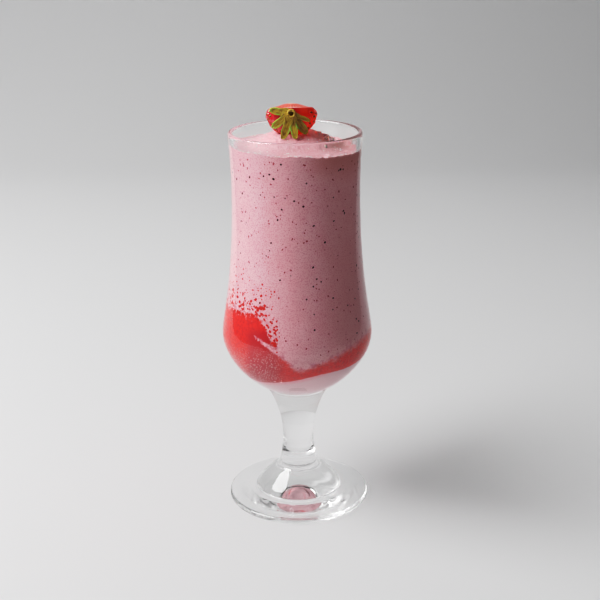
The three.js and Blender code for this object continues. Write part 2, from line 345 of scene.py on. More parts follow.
def set_stage(bm, name, finish, hidden_from=()):
    """Makes a stage object of a mesh, hidden from some kinds of rays."""
    mesh = bpy.data.meshes.new(name)
    bm.to_mesh(mesh)
    bm.free()
    mesh.shade_smooth()
    mesh.materials.append(finish)
    thing = bpy.data.objects.new(name, mesh)
    bpy.context.scene.collection.objects.link(thing)
    for ray in hidden_from:
        setattr(thing, "visible_" + ray, False)
    return thing


class Finish:
    """A node material, or the world's nodes, with short ways to add to them."""

    def __init__(self, name, kind="materials", output="OutputMaterial"):
        self.owner = getattr(bpy.data, kind).new(name)
        self.owner.use_nodes = True
        self.nodes = self.owner.node_tree.nodes
        self.links = self.owner.node_tree.links
        self.nodes.clear()
        self.output = self.add(output)

    def add(self, kind, inputs=None, **settings):
        """Adds a node, with its settings and with values or links for its inputs."""
        node = self.nodes.new("ShaderNode" + kind)
        for key, value in settings.items():
            setattr(node, key, value)
        for key, value in (inputs or {}).items():
            self.feed(node.inputs[key], value)
        return node

    def feed(self, socket, value):
        """Links a socket, or sets its value."""
        if isinstance(value, bpy.types.NodeSocket):
            self.links.new(value, socket)
        elif socket.type == "RGBA":
            socket.default_value = (*value[:3], 1.0)
        else:
            socket.default_value = value

    def place(self):
        """Object coordinates, in metres."""
        return self.add("TexCoord").outputs["Object"]

    def attribute(self, name):
        """A number that each point of the mesh carries."""
        return self.add("Attribute", attribute_name=name).outputs["Fac"]

    def noise(self, at, size, detail=2.0):
        """Cloudy noise with patches of about the given size."""
        inputs = {"Vector": at, "Scale": 1 / size, "Detail": detail}
        return self.add("TexNoise", inputs).outputs["Fac"]

    def cells(self, at, size):
        """Cells of about the given size, with their distance and colour outputs."""
        return self.add("TexVoronoi", {"Vector": at, "Scale": 1 / size})

    def ramp(self, value, start, end, low=0.0, high=1.0):
        """Soft change from low to high as a value goes from start to end."""
        inputs = {"Value": value, "From Min": start, "From Max": end, "To Min": low, "To Max": high}
        return self.add("MapRange", inputs, interpolation_type="SMOOTHSTEP").outputs["Result"]

    def math(self, operation, first, second=0.0):
        """One sum on two numbers."""
        return self.add("Math", {0: first, 1: second}, operation=operation).outputs["Value"]

    def times(self, first, second):
        """Product of two numbers."""
        return self.math("MULTIPLY", first, second)

    def plus(self, first, second):
        """Sum of two numbers."""
        return self.math("ADD", first, second)

    def minus(self, first, second):
        """Difference of two numbers."""
        return self.math("SUBTRACT", first, second)

    def most(self, first, second):
        """The larger of two numbers."""
        return self.math("MAXIMUM", first, second)

    def part(self, at, axis):
        """One coordinate of a place."""
        return self.add("SeparateXYZ", {"Vector": at}).outputs[axis]

    def mix(self, share, first, second):
        """Mix of two shaders."""
        return self.add("MixShader", {0: share, 1: first, 2: second}).outputs["Shader"]

    def blend(self, share, first, second):
        """Mix of two colours."""
        inputs = {0: share, 6: first, 7: second}
        return self.add("Mix", inputs, data_type="RGBA").outputs[2]

    def bump(self, height, depth, strength=1.0):
        """Normals of a fine relief."""
        inputs = {"Height": height, "Distance": depth, "Strength": strength}
        return self.add("Bump", inputs).outputs["Normal"]

    def wear(self, shader):
        """Ends the nodes in a shader."""
        self.links.new(shader, self.output.inputs["Surface"])
        return self.owner


def glass_finish(glass):
    """Clear glass that lets light through to what it holds."""
    finish = Finish("clear_glass")
    clear = finish.add("BsdfPrincipled", {
        "Base Color": (1, 1, 1),
        "Roughness": 0.0,
        "IOR": 1.5,
        "Transmission Weight": 1.0,
    })
    through = finish.add("BsdfTransparent", {"Color": glass.tint})
    path = finish.add("LightPath")
    soft_light = finish.most(path.outputs["Is Shadow Ray"], path.outputs["Is Diffuse Ray"])
    return finish.wear(finish.mix(soft_light, clear.outputs["BSDF"], through.outputs["BSDF"]))


def smoothie_tone(finish, drink, at, grain):
    """Pink smoothie with a fine grain, blushes over the puree, a paler heel, painted shade to the right,
    and juice under the foam that is partly painted red-brown shade.
    """
    side = finish.part(at, "X")
    above = finish.attribute("above_puree")
    below = finish.attribute("below_puree")
    depth = finish.attribute("below_foam")
    clouds = finish.ramp(finish.noise(at, 9 * MM, 3), 0.35, 0.7)
    tone = finish.blend(clouds, drink.pink, drink.pink_deep)
    tone = finish.blend(finish.ramp(grain, 0.5, 0.75, 0, 0.35), tone, drink.pink_deep)
    fine = finish.ramp(finish.noise(at, 0.5 * MM, 1), 0.48, 0.64, 0, 0.55)
    tone = finish.blend(fine, tone, drink.blush)
    # Painted shade: the smoothie turns warmer and redder towards the shaded right side.
    tone = finish.blend(finish.ramp(side, 0, 26 * MM, 0, 0.4), tone, drink.pink_shaded_side)
    tone = finish.blend(finish.ramp(below, 0.3 * MM, 3 * MM), tone, drink.heel)

    near = finish.times(finish.ramp(above, 8 * MM, 0.4 * MM), finish.ramp(above, -1 * MM, 0))
    patches = finish.ramp(finish.noise(at, 2.2 * MM, 3), 0.46, 0.66)
    tone = finish.blend(finish.times(near, patches), tone, drink.blush)

    # Juice under the foam, mostly on the shaded right, with a pool beside the berry: partly juice, partly
    # painted red-brown shade and shadow.
    juice_shade_share = finish.times(finish.ramp(depth, 14 * MM, 1 * MM), finish.ramp(depth, 0, 1 * MM))
    juice_shade_share = finish.times(juice_shade_share, finish.ramp(side, -2 * MM, 18 * MM, 0, 0.75))
    pool = finish.add("VectorMath", {0: at, 1: drink.pool}, operation="DISTANCE").outputs["Value"]
    juice_shade_share = finish.most(juice_shade_share, finish.ramp(pool, 13 * MM, 6 * MM, 0, 0.95))
    return finish.blend(juice_shade_share, tone, drink.juice_and_shade)


def puree_tone(finish, drink, at):
    """Red puree with pulp, deepened by painted shade away from the wall's edge, and speckled low down on
    the left.
    """
    side = finish.part(at, "X")
    below = finish.attribute("below_puree")
    pulp = finish.ramp(finish.noise(at, 1.4 * MM, 3), 0.42, 0.72, 0, 0.6)
    tone = finish.blend(pulp, drink.red, drink.red_deep_and_shade)
    left = finish.ramp(side, -4 * MM, -12 * MM, 0.2, 1)
    # Painted shade: the puree darkens to its deep red inward of the climb on the left.
    inner = finish.ramp(side, -25 * MM, -20 * MM)
    painted_shade = finish.times(inner, finish.ramp(below, -31 * MM, -26 * MM))
    tone = finish.blend(finish.times(painted_shade, left), tone, drink.red_deep_and_shade)
    low = finish.times(finish.ramp(below, -23 * MM, -11 * MM), left)
    tone = finish.blend(finish.times(low, 0.18), tone, drink.blush)
    dots = finish.ramp(finish.cells(at, 0.8 * MM).outputs["Distance"], 0.36, 0.2, 0, 0.5)
    return finish.blend(finish.times(low, dots), tone, drink.foam)


def puree_share(finish, at):
    """Where the puree shows: ragged above, and sagging below towards the right."""
    side = finish.part(at, "X")
    above = finish.attribute("above_puree")
    below = finish.attribute("below_puree")
    ragged = finish.times(finish.noise(at, 2.6 * MM, 4), 4.5)
    drips = finish.minus(finish.noise(at, 0.9 * MM, 2), 0.5)
    drips = finish.times(drips, finish.ramp(side, -8 * MM, -20 * MM, 2, 6))
    shift = finish.times(finish.minus(finish.plus(ragged, drips), 2.25), MM)
    soft = finish.ramp(side, -10 * MM, 4 * MM, 1.5 * MM, 3.2 * MM)
    over = finish.ramp(finish.plus(above, shift), soft, -1.3 * MM)
    sag = finish.ramp(side, 6 * MM, 30 * MM, 0, 5 * MM)
    hang = finish.minus(finish.times(shift, 0.2), sag)
    under = finish.ramp(finish.plus(below, hang), 0.35 * MM, -0.35 * MM)
    return finish.times(over, under)


def drink_finish(drink):
    """Smoothie and puree in one material, which follows the height above and below the puree."""
    finish = Finish("smoothie_and_puree")
    at = finish.place()
    grain = finish.noise(at, 1.1 * MM, 2)
    smoothie = smoothie_tone(finish, drink, at, grain)
    puree = puree_tone(finish, drink, at)
    skin = finish.add("BsdfPrincipled", {
        "Base Color": finish.blend(puree_share(finish, at), smoothie, puree),
        "Roughness": 0.35,
        "Normal": finish.bump(grain, 0.15 * MM, 0.4),
    })
    return finish.wear(skin.outputs["BSDF"])


def plain_finish(name, base, roughness, grain_size, depth, spread=0.25, soft=0.0, shine=0.5):
    """A small thing's colour with cloudy variation and a fine relief."""
    finish = Finish(name)
    at = finish.place()
    grain = finish.noise(at, grain_size, 3)
    darker = tuple(part * (1 - spread) for part in base)
    skin = finish.add("BsdfPrincipled", {
        "Base Color": finish.blend(finish.ramp(grain, 0.35, 0.65), base, darker),
        "Roughness": roughness,
        "Subsurface Weight": soft,
        "Subsurface Scale": MM,
        "Specular IOR Level": shine,
        "Normal": finish.bump(grain, depth),
    })
    return finish.wear(skin.outputs["BSDF"])


def skin_finish(berry):
    """Wet strawberry skin, paler towards the stalk, with painted light on the right shoulder."""
    finish = Finish("berry_skin")
    at = finish.place()
    ripe = finish.attribute("ripe")
    side = finish.part(at, "X")
    clouds = finish.noise(at, 4 * MM, 3)
    pale = finish.times(finish.ramp(ripe, 0.45, 0.1), finish.ramp(clouds, 0.3, 0.7, 0.4, 1))
    # Painted light: the pale skin is kept mostly to the right shoulder, where it stands for light shining
    # through the fruit.
    pale = finish.times(pale, finish.ramp(side, -2 * MM, 6 * MM, 0.1, 1))
    grain = finish.noise(at, 0.6 * MM, 2)
    skin = finish.add("BsdfPrincipled", {
        "Base Color": finish.blend(pale, berry.skin, berry.skin_pale_and_glow),
        "Roughness": 0.4,
        "Subsurface Weight": 0.1,
        "Subsurface Radius": (1.0, 0.15, 0.08),
        "Subsurface Scale": 3 * MM,
        "Specular IOR Level": 0.3,
        "Coat Weight": 1.0,
        "Coat Roughness": 0.06,
        "Coat IOR": 1.7,
        "Normal": finish.bump(grain, 0.08 * MM, 0.5),
    })
    lit = finish.add("BsdfTranslucent", {"Color": berry.skin_lit})
    far = finish.ramp(side, -4 * MM, 5 * MM, 0, 0.5)
    both = finish.mix(far, skin.outputs["BSDF"], lit.outputs["BSDF"])
    return finish.wear(red_shadow(finish, both, berry))


def red_shadow(finish, shader, berry):
    """Lets some red light through the fruit into its own shadow."""
    through = finish.add("BsdfTransparent", {"Color": berry.glow})
    path = finish.add("LightPath")
    return finish.mix(path.outputs["Is Shadow Ray"], shader, through.outputs["BSDF"])


def flesh_finish(berry):
    """Cut flesh with a pale core, veins that run out to the skin and a deep red edge."""
    finish = Finish("berry_flesh")
    at = finish.place()
    outwards = finish.attribute("outwards")
    spoke = finish.attribute("spoke")
    wavy = finish.times(finish.minus(finish.noise(at, 2.5 * MM, 2), 0.5), 2.0)
    stripes = finish.math("SINE", finish.plus(finish.times(spoke, 24.0), wavy))
    veins = finish.times(finish.ramp(stripes, 0.55, 0.95), finish.ramp(outwards, 0.97, 0.7))
    core = finish.plus(outwards, finish.times(wavy, 0.05))
    along = finish.part(at, "Y")
    pale = finish.most(finish.times(veins, 0.5), finish.ramp(core, 0.34, 0.12))
    pale = finish.most(pale, finish.ramp(along, -7.5 * MM, -10 * MM, 0, 0.95))
    tone = finish.blend(pale, berry.flesh, berry.core)
    tone = finish.blend(finish.ramp(outwards, 0.86, 0.98), tone, berry.skin)
    skin = finish.add("BsdfPrincipled", {
        "Base Color": tone,
        "Roughness": 0.3,
        "Subsurface Weight": 0.2,
        "Subsurface Scale": 1.5 * MM,
        "Specular IOR Level": 0.3,
        "Normal": finish.bump(finish.noise(at, 0.8 * MM, 3), 0.15 * MM, 0.6),
    })
    return finish.wear(red_shadow(finish, skin.outputs["BSDF"], berry))


def leaf_finish(berry):
    """Olive sepals with greener edges and lengthwise veins whose grooves hold painted shade."""
    finish = Finish("leaf_cap")
    at = finish.place()
    edge = finish.attribute("edge")
    along = finish.attribute("along")
    clouds = finish.noise(at, 1.6 * MM, 3)
    border = finish.plus(edge, finish.times(finish.minus(clouds, 0.5), 0.5))
    dry_and_shade = tuple(part * share for part, share in zip(berry.leaf, (0.5, 0.36, 0.5)))
    tone = finish.blend(finish.ramp(clouds, 0.48, 0.66, 0, 0.8), berry.leaf, dry_and_shade)
    tone = finish.blend(finish.ramp(along, 0.3, 0.0, 0, 0.6), tone, berry.stalk)
    # The veins' grooves are darkened: partly vein colour, partly painted shade.
    ribs = finish.math("SINE", finish.times(edge, 16.0))
    tone = finish.blend(finish.ramp(ribs, 0.2, -0.9, 0, 0.5), tone, dry_and_shade)
    green = finish.times(finish.ramp(border, 0.6, 0.88), finish.ramp(along, 0.3, 0.55))
    green = finish.times(green, finish.ramp(finish.noise(at, 4 * MM, 2), 0.35, 0.6, 0.15, 1))
    tone = finish.blend(green, tone, berry.leaf_edge)
    skin = finish.add("BsdfPrincipled", {
        "Base Color": tone,
        "Roughness": 0.5,
        "Subsurface Weight": 0.1,
        "Subsurface Scale": 0.5 * MM,
        "Normal": finish.bump(ribs, 0.05 * MM, 0.6),
    })
    return finish.wear(skin.outputs["BSDF"])


def glass_outline(glass):
    """Outline of the glass from under its foot, over the rim and down to the bowl's floor."""
    hollow = [
        place(0, glass.foot_hollow, after=(6, 0)),
        place(glass.hollow_radius, 0, before=(-4, 1.3)),
    ]
    ring_end = glass.foot_radius - glass.foot_edge
    ring_radii = (glass.hollow_radius + RING_MARGIN, ring_end - RING_MARGIN)
    ring = [Vector((radius, 0, 0)) for radius in ring_radii]
    edge = arc(ring_end, glass.foot_edge, glass.foot_edge, -90, 72)
    ridge = arc(glass.crease_radius, glass.crease_height, glass.crease_ridge, -115, 27)
    stem = [
        place(edge[-1].x, edge[-1].z, after=(-1.6, 0.3)),
        place(glass.slope_radius, glass.slope_height, before=(1.5, -0.35), after=(-1.6, 0.47)),
        place(glass.plate_radius, glass.plate_height, before=(1.5, -0.45), after=(-1.4, 0.25)),
        place(glass.bell_radius, glass.bell_height, before=(0.5, -1.0), after=(-0.9, 2.5)),
        place(glass.shoulder_radius, glass.shoulder_height, before=(2.7, -2.7), after=(-1.1, 1.1)),
        place(glass.bell_top_radius, glass.bell_top_height, before=(1.3, -0.95), after=(-1.2, 0.85)),
        place(glass.collar_radius, glass.collar_height, before=(0.5, -3.8), after=(-0.3, 2.4)),
        place(glass.stem_radius, glass.stem_height, before=(0, -6), after=(0, 11)),
        place(ridge[0].x, ridge[0].z, before=(-3.8, -8)),
    ]
    bowl = [
        place(ridge[-1].x, ridge[-1].z, after=(9.6, 4.8)),
        place(glass.bulge_radius, glass.bulge_height, before=(0, -11), after=(0, 8)),
        place(glass.waist_radius, glass.waist_height, before=(0, -45), after=(0, 8)),
        place(glass.rim_radius, glass.height - glass.bead, before=(-0.5, -7)),
    ]
    rim = arc(glass.rim_radius - glass.bead, glass.height - glass.bead, glass.bead, 0, 180)
    outside = curve_through(stem)[1:] + ridge[1:] + curve_through(bowl)[1:]
    inside = curve_through(cavity_places(glass))
    return curve_through(hollow) + ring + edge + outside + rim[1:] + inside[1:]


def cavity_places(glass, bite=0.0):
    """Places of the bowl's inside, from the mouth to the floor, let out by a bite into the wall."""
    mouth = glass.rim_radius - 2 * glass.bead
    belly = glass.bulge_radius - glass.belly_wall
    return [
        place(mouth + bite, glass.height - glass.bead, after=(-0.45, -7)),
        place(glass.waist_radius - glass.wall + bite, glass.waist_height, before=(0, 8), after=(0, -45)),
        place(belly + bite, glass.belly_height, before=(0, 8), after=(0, -12.5)),
        place(0, glass.floor - bite, before=(22, 0)),
    ]


class Bowl:
    """The bowl's inside, for the drink that fills it."""

    curve_steps = 160
    edge_rounds = 8

    def __init__(self, glass, bite=BITE):
        points = list(reversed(curve_through(cavity_places(glass, bite), self.curve_steps)))
        self.heights = numpy.array([point.z for point in points])
        self.radii = numpy.array([point.x for point in points])
        self.floor = points[0].z

    def radius(self, height):
        """Inner radius at a height."""
        return float(numpy.interp(height, self.heights, self.radii))

    def edge(self, surface, azimuth):
        """Height at which a surface meets the wall, found in a few rounds."""
        height = surface(0, 0)
        for _ in range(self.edge_rounds):
            radius = self.radius(height)
            height = surface(radius * math.cos(azimuth), radius * math.sin(azimuth))
        return height


class Layers:
    """Heights of the puree's two faces and of the foam, over a place in the glass."""

    # The climb: its middle, half widths of its flat top and of its foot, and how closely it hugs the wall.
    climb_at = math.radians(-155)
    climb_flat = math.radians(25)
    climb_end = math.radians(70)
    climb_power = 4

    # The foam's unevenness: heights and sizes of its waves, froth and lumps, and its heap beside the berry.
    swell = 0.35 * MM
    swell_sizes = (4 * MM, 5 * MM)
    froth = 0.3 * MM
    froth_size = 1.4 * MM
    lump = 1.1 * MM
    lump_size = 2.4 * MM
    lump_start = 22 * MM
    lump_fade = 4 * MM
    lump_side = 40 * MM
    heap = 1.3 * MM
    heap_at = 15.5 * MM
    heap_radius = 5.5 * MM
    fall_width = 56 * MM

    # The pink streak that parts the climbing puree: two turns in degrees, two heights and its half width.
    streak_turns = (-127, -103)
    streak_heights = (95.6 * MM, 88.4 * MM)
    streak_half = 1.3 * MM
    streak_pull = 2.5

    def __init__(self, drink, berry):
        self.drink = drink
        self.berry = berry

    def puree_under(self, x, y):
        """Height of the puree's slanted underside."""
        drink = self.drink
        return drink.layer_height + (drink.layer_rise_x * x + drink.layer_rise_y * y) / drink.layer_radius

    def puree_over(self, x, y):
        """Height of the puree's upper face, with its climb along the wall."""
        drink = self.drink
        turn = math.atan2(y, x) - self.climb_at
        away = abs(math.remainder(turn, math.tau))
        share = smoothstep((self.climb_end - away) / (self.climb_end - self.climb_flat))
        outwards = min(1, math.hypot(x, y) / drink.layer_radius) ** self.climb_power
        return self.puree_under(x, y) + drink.layer_thickness + drink.climb * share * outwards

    def streak(self, x, y, z):
        """How far a point lies inside the pink streak, below 0 outside it."""
        start, end = self.streak_turns
        top, low = self.streak_heights
        share = (math.degrees(math.atan2(y, x)) - start) / (end - start)
        if not 0 < share < 1:
            return -MM
        return self.streak_half * (0.2 + share) - abs(z - top - (low - top) * share)

    def foam(self, x, y):
        """Height of the foam, with its mound, its fall to the right and its unevenness."""
        drink = self.drink
        away = math.hypot(x, y)
        rise = smoothstep((drink.mound_foot - away) / (drink.mound_foot - drink.mound_top))
        swell = self.swell * math.sin(x / self.swell_sizes[0] + 1) * math.cos(y / self.swell_sizes[1])
        froth = self.froth * noise.noise(Vector((x, y, 0)) / self.froth_size)
        froth *= smoothstep((drink.mound_foot - away) / drink.mound_top)
        lumps = self.lump * noise.noise(Vector((x, y, MM)) / self.lump_size)
        lumps *= smoothstep((away - self.lump_start) / self.lump_fade)
        lumps *= smoothstep(0.6 + x / self.lump_side)
        heap = self.heap * math.exp(-((x - self.heap_at) ** 2 + y * y) / self.heap_radius**2)
        fall = drink.level_fall * (0.5 + x / self.fall_width)
        return drink.level - fall + drink.mound * rise + swell + froth + lumps + heap

    def foam_under_berry(self, x, y):
        """The foam, pressed down where the berry lies on it."""
        return min(self.foam(x, y), berry_underside(self.berry, x, y))


def bowl_and_layers(scene):
    """The bowl and the layers of the drink in it, from the scene's settings."""
    return Bowl(scene.smoothie_glass), Layers(scene.smoothie_drink, scene.smoothie_berry)


def fill_bowl(bowl, high, low=None, cap_rings=24, wall_rows=48):
    """A skin that fills the bowl up to a surface, from another surface or from the floor.

    A unit drum is turned first, with its lower lid at 0 and its upper lid at 1, then fitted to the bowl.
    """
    bm = bmesh.new()
    lid = [ring / cap_rings for ring in range(cap_rings)]
    first_row = 0 if low else 1
    outline = [(ring, 0) for ring in lid] if low else [(0, 0)]
    outline += [(1, row / wall_rows) for row in range(first_row, wall_rows + 1)]
    outline += [(ring, 1) for ring in reversed(lid)]
    spin_outline(bm, [Vector((ring, 0, row)) for ring, row in outline], AXIS_Z, DRINK_SEGMENTS)
    edges = {}
    for vert in bm.verts:
        ring = math.hypot(vert.co.x, vert.co.y)
        row = vert.co.z
        azimuth = math.atan2(vert.co.y, vert.co.x)
        segment = round(azimuth * DRINK_SEGMENTS / math.tau)
        if segment not in edges:
            edges[segment] = bowl.edge(low, azimuth) if low else bowl.floor, bowl.edge(high, azimuth)
        bottom, top = edges[segment]
        if not low:
            row = row * row
        height = bottom + (top - bottom) * row
        radius = bowl.radius(height) * min(ring, 1.0)
        if not low and vert.co.z < TOUCH:
            radius = 0
        x = radius * math.cos(azimuth)
        y = radius * math.sin(azimuth)
        if ring < LID < vert.co.z:
            height = high(x, y)
        elif ring < LID and low:
            height = low(x, y)
        vert.co = (x, y, height)
    return bm


def mark_layers(bm, layers):
    """Writes each point's height above and below the puree for the drink's material."""
    above = bm.verts.layers.float.new("above_puree")
    below = bm.verts.layers.float.new("below_puree")
    depth = bm.verts.layers.float.new("below_foam")
    for vert in bm.verts:
        x, y, z = vert.co
        vert[above] = max(z - layers.puree_over(x, y), layers.streak_pull * layers.streak(x, y, z))
        vert[below] = layers.puree_under(x, y) - z
        vert[depth] = layers.foam(x, y) - z


def berry_form(berry, angle, grow=0.0):
    """Distance from the berry's axis and place along it, for an angle from the stalk in degrees."""
    turn = math.radians(angle)
    if angle < 90:
        radius = (berry.radius + grow) * math.sin(turn)
        return radius, berry.widest - (berry.shoulder + grow) * abs(math.cos(turn))
    radius = (berry.radius + grow) * max(0.0, math.sin(turn)) ** TIP_POWER
    return radius, berry.widest + (berry.tip + grow) * abs(math.cos(turn))


def berry_place(berry, angle, turn, grow=0.0):
    """A point of the berry's form, for an angle from the stalk and a turn about the axis in degrees."""
    radius, along = berry_form(berry, angle, grow)
    x = berry.sideways + radius * math.cos(math.radians(turn))
    z = berry.axis_height + radius * math.sin(math.radians(turn))
    return Vector((x, along, z))


def berry_radius(berry, y):
    """Radius of the berry at a place along its axis."""
    along = y - berry.widest
    reach = berry.shoulder if along < 0 else berry.tip
    share = abs(along) / reach
    if share >= 1:
        return 0.0
    fullness = 0.5 if along < 0 else 0.5 * TIP_POWER
    return berry.radius * (1 - share * share) ** fullness


def berry_underside(berry, x, y):
    """Height of the berry's underside above a place, or a height above everything beside it."""
    radius = berry_radius(berry, y)
    across = abs(x - berry.sideways)
    if across >= radius:
        return berry.cut_height
    return berry.axis_height - math.sqrt(radius * radius - across * across) + 0.1 * MM


def cut_level(berry, y):
    """Height of the leaning cut face at a place along the berry's axis."""
    return berry.cut_height - (y - berry.widest) * math.tan(berry.cut_lean)


def cut_centre(berry):
    """Middle of the cut face."""
    along = berry.widest + 2 * MM
    return Vector((berry.sideways, along, cut_level(berry, along)))


def round_shoulder(berry, at):
    """Draws a point of the skin in towards the cut, less at the stalk than at the sides."""
    share = 1 - (cut_level(berry, at.y) - at.z) / berry.shoulder_depth
    share = max(0.0, min(1.0, share))
    inwards = cut_centre(berry) - at
    inwards.z = 0
    if inwards.length < MM:
        return at
    sideways = abs(inwards.x) / inwards.length
    return at + inwards.normalized() * berry.shoulder_inset * share * share * (0.3 + 0.7 * sideways)


def skin_place(berry, angle, turn):
    """A point of the skin with its round shoulders."""
    return round_shoulder(berry, berry_place(berry, angle, turn))


SeedSpot = namedtuple("SeedSpot", "at outwards along")


def seed_spots(berry):
    """Places of the seeds in a spiral over the skin, below the cut."""
    spots = []
    first, last = SEED_SPAN
    for index in range(BERRY_SEEDS):
        share = first + (last - first) * (index + 0.5) / BERRY_SEEDS
        angle = math.degrees(math.acos(1 - 2 * share))
        turn = index * GOLDEN_ANGLE
        at = skin_place(berry, angle, turn)
        if at.z > cut_level(berry, at.y) - 0.9 * MM:
            continue
        along = (skin_place(berry, angle + 1, turn) - skin_place(berry, angle - 1, turn)).normalized()
        around = (skin_place(berry, angle, turn + 1) - skin_place(berry, angle, turn - 1)).normalized()
        spots.append(SeedSpot(at, along.cross(around).normalized(), along))
    return spots


def scatter_bead(bm, at, sizes, turn=None, subdivisions=1):
    """Adds one small rounded bead of three half sizes."""
    matrix = Matrix.Translation(at)
    if turn is not None:
        matrix = matrix @ turn
    matrix = matrix @ Matrix.Diagonal((*sizes, 1))
    bmesh.ops.create_icosphere(bm, subdivisions=subdivisions, radius=1, matrix=matrix)


def wall_turn(azimuth, tilt):
    """Turn that lays a bead flat against the wall, with X outwards, and tilts it there."""
    return Matrix.Rotation(azimuth, 4, "Z") @ Matrix.Rotation(tilt, 4, "X")


def wall_bead(bm, bowl, draw, azimuth, height, size, stretch):
    """Adds a flat bead that shows on the drink's side of the wall."""
    radius = bowl.radius(height)
    at = Vector((radius * math.cos(azimuth), radius * math.sin(azimuth), height))
    wide = size * draw.uniform(0.75, 1.1) * MM
    tall = size * draw.uniform(1.0, stretch) * MM
    scatter_bead(bm, at, (0.12 * MM, wide, tall), wall_turn(azimuth, draw.gauss(0, 0.5)))


class SMOOTHIE_OT_glass(bpy.types.Operator):
    """Makes the footed glass in one spin of its outline."""

    bl_idname = "smoothie.glass"
    bl_label = "Footed glass"

    def execute(self, context):
        glass = context.scene.smoothie_glass
        bm = bmesh.new()
        spin_outline(bm, glass_outline(glass), AXIS_Z, GLASS_SEGMENTS)
        set_piece(bm, "tulip_glass", [glass_finish(glass)], ["glass"])
        return {"FINISHED"}


class SMOOTHIE_OT_drink(bpy.types.Operator):
    """Fills the bowl with the heel, the puree and the smoothie."""

    bl_idname = "smoothie.drink"
    bl_label = "Layered drink"

    def execute(self, context):
        drink = context.scene.smoothie_drink
        bowl, layers = bowl_and_layers(context.scene)
        finish = drink_finish(drink)

        heel = fill_bowl(bowl, layers.puree_under, cap_rings=12, wall_rows=30)
        puree = fill_bowl(bowl, layers.puree_over, layers.puree_under, cap_rings=20, wall_rows=90)
        body = fill_bowl(bowl, layers.foam_under_berry, layers.puree_over, cap_rings=64, wall_rows=70)
        for bm in (heel, puree, body):
            mark_layers(bm, layers)
        set_piece(heel, "smoothie_below", [finish], ["smoothie_heel"])
        set_piece(puree, "puree_layer", [finish], ["puree"])
        set_piece(body, "smoothie_above", [finish], ["smoothie"])
        return {"FINISHED"}


class SMOOTHIE_OT_specks(bpy.types.Operator):
    """Scatters crushed seeds, flecks of pulp and drops of puree along the wall."""

    bl_idname = "smoothie.specks"
    bl_label = "Seeds and pulp"

    # Half sizes of the beads in millimetres, and the turns and heights over which the drops thin out.
    seed_sizes = (0.3, 0.55)
    fleck_sizes = (0.12, 0.42)
    drop_sizes = (0.2, 1.15, 0.4)
    drop_turns = (-200, -104)
    drop_fade = 8.5
    drop_reach = 30

    def execute(self, context):
        drink = context.scene.smoothie_drink
        bowl, layers = bowl_and_layers(context.scene)
        draw = random.Random(41)

        seeds = bmesh.new()
        for _ in range(drink.seeds):
            self.lay(seeds, bowl, layers, draw, self.seed_sizes, 1.4)
        finish = plain_finish("crushed_seed", drink.seed, 0.9, 0.3 * MM, 0.02 * MM, shine=0.1)
        set_piece(seeds, "seed_specks", [finish])

        flecks = bmesh.new()
        for _ in range(drink.flecks):
            self.lay(flecks, bowl, layers, draw, self.fleck_sizes, 1.8)
        finish = plain_finish("pulp_fleck", drink.fleck, 0.8, 0.4 * MM, 0.02 * MM, soft=0.2)
        set_piece(flecks, "pulp_flecks", [finish])

        drops = bmesh.new()
        for _ in range(drink.drops):
            azimuth = math.radians(draw.uniform(*self.drop_turns))
            edge = bowl.edge(layers.puree_over, azimuth)
            rise = draw.expovariate(1 / self.drop_fade) - 1
            if rise > self.drop_reach:
                continue
            size = draw.triangular(*self.drop_sizes) * (1 - rise / (1.5 * self.drop_reach))
            wall_bead(drops, bowl, draw, azimuth, edge + rise * MM, size, 1.4)
        finish = plain_finish("puree_drop", drink.red, 0.3, 0.6 * MM, 0.02 * MM, soft=0.2)
        set_piece(drops, "puree_drops", [finish])
        return {"FINISHED"}

    def lay(self, bm, bowl, layers, draw, sizes, stretch):
        """Adds a bead at a random place of the wall between the puree and the foam."""
        azimuth = draw.uniform(-math.pi, math.pi)
        low = bowl.edge(layers.puree_over, azimuth) + MM
        high = bowl.edge(layers.foam, azimuth) - 2 * MM
        wall_bead(bm, bowl, draw, azimuth, draw.uniform(low, high), draw.uniform(*sizes), stretch)


class SMOOTHIE_OT_bubbles(bpy.types.Operator):
    """Lays bubbles on the foam: along the wall, round the berry and in a cluster beside it."""

    bl_idname = "smoothie.bubbles"
    bl_label = "Foam bubbles"

    # How many bubbles lie along the wall, in the cluster and loose, and the cluster's place and spread.
    along_wall = 170
    in_cluster = 60
    loose = 160
    loose_radius = 26 * MM
    cluster_at = (14.5, -2.5)
    cluster_spread = (2.6, 3)

    def execute(self, context):
        drink = context.scene.smoothie_drink
        bowl, layers = bowl_and_layers(context.scene)
        draw = random.Random(7)
        bm = bmesh.new()
        wall = bowl.radius(drink.level)
        for _ in range(self.along_wall):
            size = draw.uniform(0.2, 0.5)
            radius = wall - (size + abs(draw.gauss(0, 0.8))) * MM
            self.bubble(bm, layers, draw, radius, draw.uniform(-math.pi, math.pi), size)
        for _ in range(self.in_cluster):
            x, y = (draw.gauss(*pair) * MM for pair in zip(self.cluster_at, self.cluster_spread))
            self.bubble(bm, layers, draw, math.hypot(x, y), math.atan2(y, x), draw.uniform(0.35, 0.9))
        for _ in range(self.loose):
            azimuth = draw.uniform(-math.pi, math.pi)
            radius = math.sqrt(draw.random()) * self.loose_radius
            self.bubble(bm, layers, draw, radius, azimuth, draw.uniform(0.15, 0.4))
        finish = plain_finish("foam_bubble", drink.foam, 0.2, 0.5 * MM, 0.01 * MM, spread=0.08, soft=0.3)
        set_piece(bm, "foam_bubbles", [finish])
        return {"FINISHED"}

    def bubble(self, bm, layers, draw, radius, azimuth, size):
        """Adds one low bubble on the foam, unless the berry covers its place."""
        x = radius * math.cos(azimuth)
        y = radius * math.sin(azimuth)
        height = layers.foam(x, y)
        if berry_underside(layers.berry, x, y) < height + 1.2 * MM:
            return
        wide = size * MM
        scatter_bead(bm, Vector((x, y, height)), (wide, wide, wide * draw.uniform(0.55, 0.8)))


